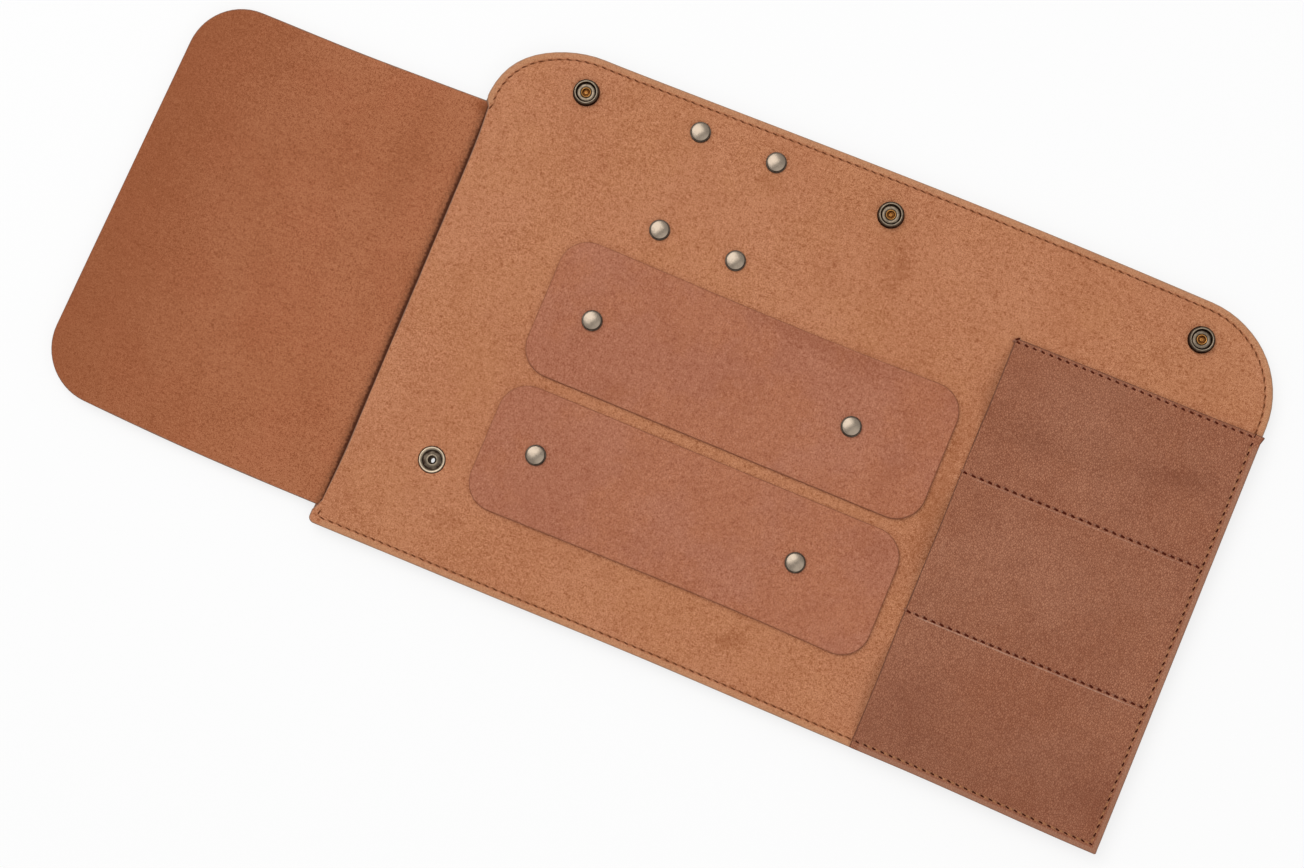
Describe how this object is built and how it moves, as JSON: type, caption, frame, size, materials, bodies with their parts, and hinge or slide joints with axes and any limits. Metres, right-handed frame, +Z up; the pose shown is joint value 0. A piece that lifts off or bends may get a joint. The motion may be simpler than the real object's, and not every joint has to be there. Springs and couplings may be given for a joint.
{
  "type": "knife roll",
  "caption": "Leather knife roll lying open, with folding top and bottom sections, a side flap, stitched knife pockets, riveted patches, outer straps and snap fasteners.",
  "frame": {"origin": "centre of the open roll's outline, on the plane that it rests on", "axes": "+X along the long edge from the side flap to the pockets, +Y from the bottom edge to the rounded top edge, +Z up out of the inner face"},
  "size_m": [0.5502, 0.258, 0.015],
  "materials": {
    "shell": "smooth grain side, matt",
    "lining": "suede flesh side, matt",
    "flap": "fine suede, matt",
    "pocket": "pebbled grain, satin",
    "patch": "smooth grain, satin",
    "strap": "smooth grain, satin",
    "thread": "waxed dark thread",
    "rivet": "antique, polished on the crowns",
    "snap": "antique, dark"
  },
  "bodies": {
    "lower": {"shell_lower": "shell", "lining_lower": "lining", "pocket_lower": "pocket", "lower_patch_lower": "patch", "stud_eyelet_1": "snap", "stud_eyelet_2": "snap", "stud_eyelet_3": "snap", "snap_stud_1": "snap", "snap_stud_2": "snap", "snap_stud_3": "snap"},
    "lower_bend": {"shell_lower_bend": "shell", "lining_lower_bend": "lining", "pocket_lower_bend": "pocket", "lower_patch_lower_bend": "patch"},
    "middle": {"shell_middle": "shell", "lining_middle": "lining", "pocket_middle": "pocket", "lower_patch_middle": "patch", "upper_patch_middle": "patch", "lower_strap": "strap", "upper_strap": "strap", "lower_pocket_seam": "thread", "upper_pocket_seam": "thread", "handle_rivet_cap_1": "rivet", "handle_rivet_cap_2": "rivet", "handle_rivet_cap_3": "rivet", "handle_rivet_cap_4": "rivet", "handle_rivet_base_1": "rivet", "handle_rivet_base_2": "rivet", "handle_rivet_base_3": "rivet", "handle_rivet_base_4": "rivet"},
    "upper_bend": {"shell_upper_bend": "shell", "lining_upper_bend": "lining", "pocket_upper_bend": "pocket", "upper_patch_upper_bend": "patch"},
    "upper": {"shell_upper": "shell", "lining_upper": "lining", "pocket_upper": "pocket", "upper_patch_upper": "patch", "badge_plate": "strap", "top_stitching": "thread", "badge_rivet_cap_1": "rivet", "badge_rivet_cap_2": "rivet", "badge_rivet_cap_3": "rivet", "badge_rivet_cap_4": "rivet", "badge_rivet_base_1": "rivet", "badge_rivet_base_2": "rivet", "badge_rivet_base_3": "rivet", "badge_rivet_base_4": "rivet", "snap_socket_1": "snap", "snap_socket_2": "snap", "snap_socket_3": "snap", "snap_cap_1": "snap", "snap_cap_2": "snap", "snap_cap_3": "snap"},
    "flap_lower": {"flap_lower": "flap"},
    "flap_lower_bend": {"flap_lower_bend": "flap"},
    "flap_middle": {"flap_middle": "flap"},
    "flap_upper_bend": {"flap_upper_bend": "flap"},
    "flap_upper": {"flap_upper": "flap"}
  },
  "joints": [
    {"name": "lower_fold", "type": "hinge", "parent": "middle", "child": "lower", "pos_m": [0, -0.07, 0.0155], "axis": [-1, 0, 0], "range_deg": [0, 180]},
    {"name": "lower_bend_turn", "type": "hinge", "parent": "middle", "child": "lower_bend", "pos_m": [0, -0.07, 0.0155], "axis": [-1, 0, 0], "range_deg": [0, 90]},
    {"name": "upper_fold", "type": "hinge", "parent": "middle", "child": "upper", "pos_m": [0, 0.02535, 0.02075], "axis": [1, 0, 0], "range_deg": [0, 180]},
    {"name": "upper_bend_turn", "type": "hinge", "parent": "middle", "child": "upper_bend", "pos_m": [0, 0.02535, 0.02075], "axis": [1, 0, 0], "range_deg": [0, 90]},
    {"name": "flap_fold", "type": "hinge", "parent": "middle", "child": "flap_middle", "pos_m": [-0.12793, 0, 0.01005], "axis": [0, 1, 0], "range_deg": [0, 180]},
    {"name": "flap_lower_turn", "type": "hinge", "parent": "lower", "child": "flap_lower", "pos_m": [-0.12793, 0, 0.01005], "axis": [0, 1, 0], "range_deg": [0, 180]},
    {"name": "flap_lower_bend_turn", "type": "hinge", "parent": "lower_bend", "child": "flap_lower_bend", "pos_m": [-0.12793, 0, 0.01005], "axis": [0, 1, 0], "range_deg": [0, 180]},
    {"name": "flap_upper_bend_turn", "type": "hinge", "parent": "upper_bend", "child": "flap_upper_bend", "pos_m": [-0.12793, 0, 0.01005], "axis": [0, 1, 0], "range_deg": [0, 180]},
    {"name": "flap_upper_turn", "type": "hinge", "parent": "upper", "child": "flap_upper", "pos_m": [-0.12793, 0, 0.01005], "axis": [0, 1, 0], "range_deg": [0, 180]}
  ],
  "couplings": [
    {"joint": "lower_bend_turn", "follows": "lower_fold", "ratio": 0.5},
    {"joint": "upper_bend_turn", "follows": "upper_fold", "ratio": 0.5},
    {"joint": "flap_lower_turn", "follows": "flap_fold", "ratio": 1},
    {"joint": "flap_lower_bend_turn", "follows": "flap_fold", "ratio": 1},
    {"joint": "flap_upper_bend_turn", "follows": "flap_fold", "ratio": 1},
    {"joint": "flap_upper_turn", "follows": "flap_fold", "ratio": 1}
  ]
}
